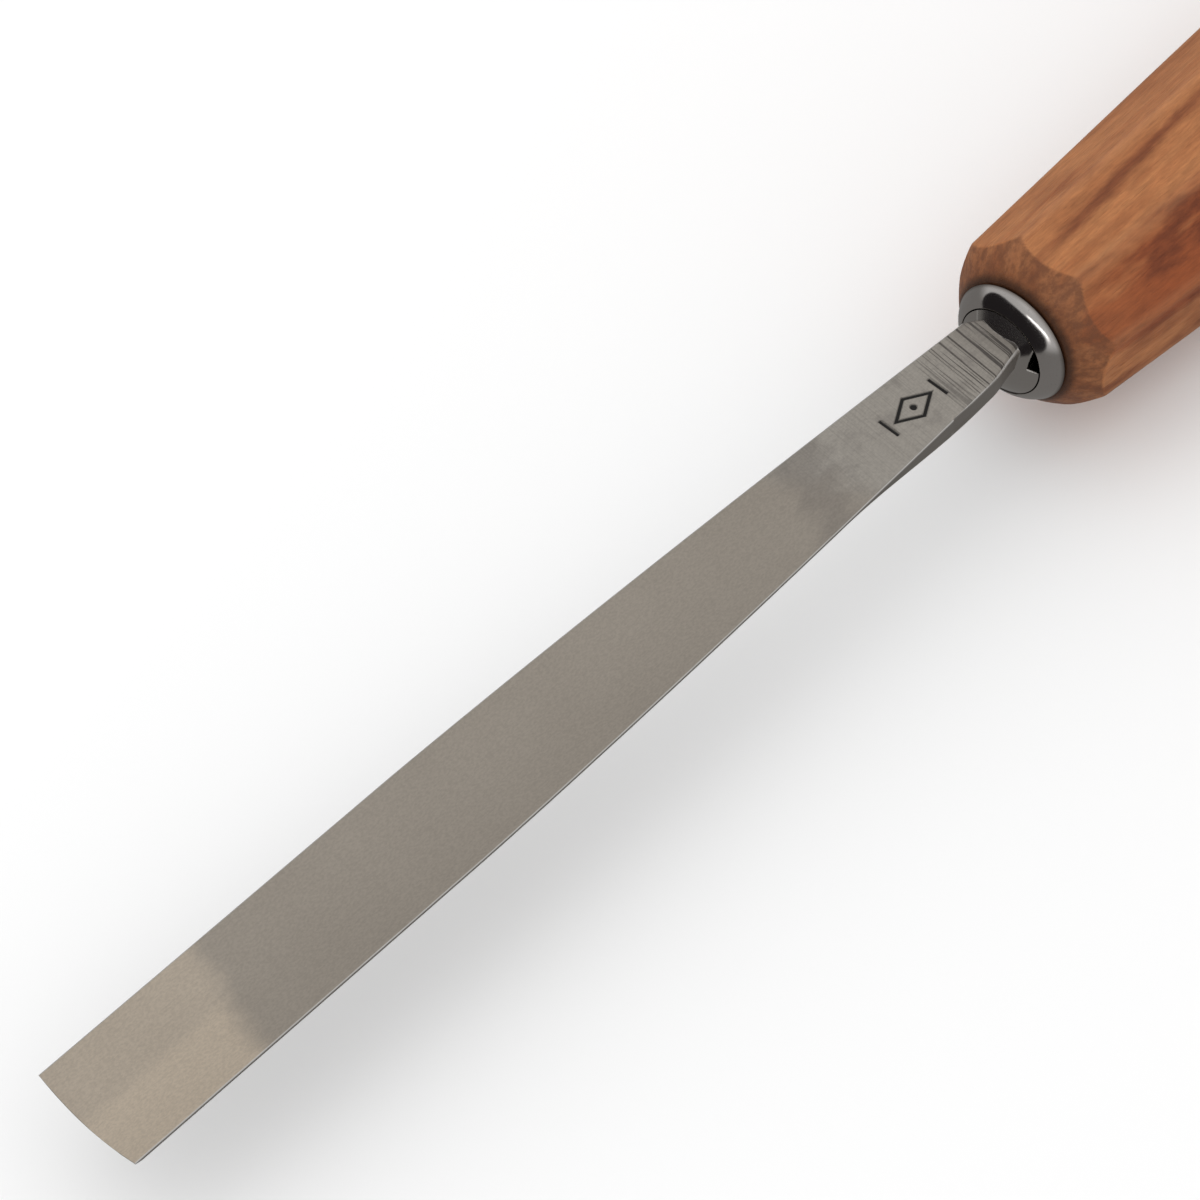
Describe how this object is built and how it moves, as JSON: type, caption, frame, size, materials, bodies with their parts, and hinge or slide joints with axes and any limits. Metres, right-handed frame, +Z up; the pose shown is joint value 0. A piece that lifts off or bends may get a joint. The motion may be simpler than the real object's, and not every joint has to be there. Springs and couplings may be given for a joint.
{
  "type": "carving gouge",
  "caption": "Straight shallow-sweep carving gouge: tapered forged blade with boss and tang, domed steel ferrule ring and an octagonal wooden handle.",
  "frame": {"origin": "centre of the tool's bounding box in plan, at the height of the handle's lowest facet", "axes": "+X along the tool towards its cutting edge, +Y across the blade, +Z up out of the hollow face"},
  "size_m": [0.251, 0.0252, 0.0251],
  "materials": {
    "blade_steel": "satin ground",
    "polished_steel": "polished",
    "oiled_wood": "oiled satin"
  },
  "bodies": {
    "root": {"gouge_blade": "blade_steel", "ferrule_ring": "polished_steel", "handle": "oiled_wood"}
  },
  "joints": []
}
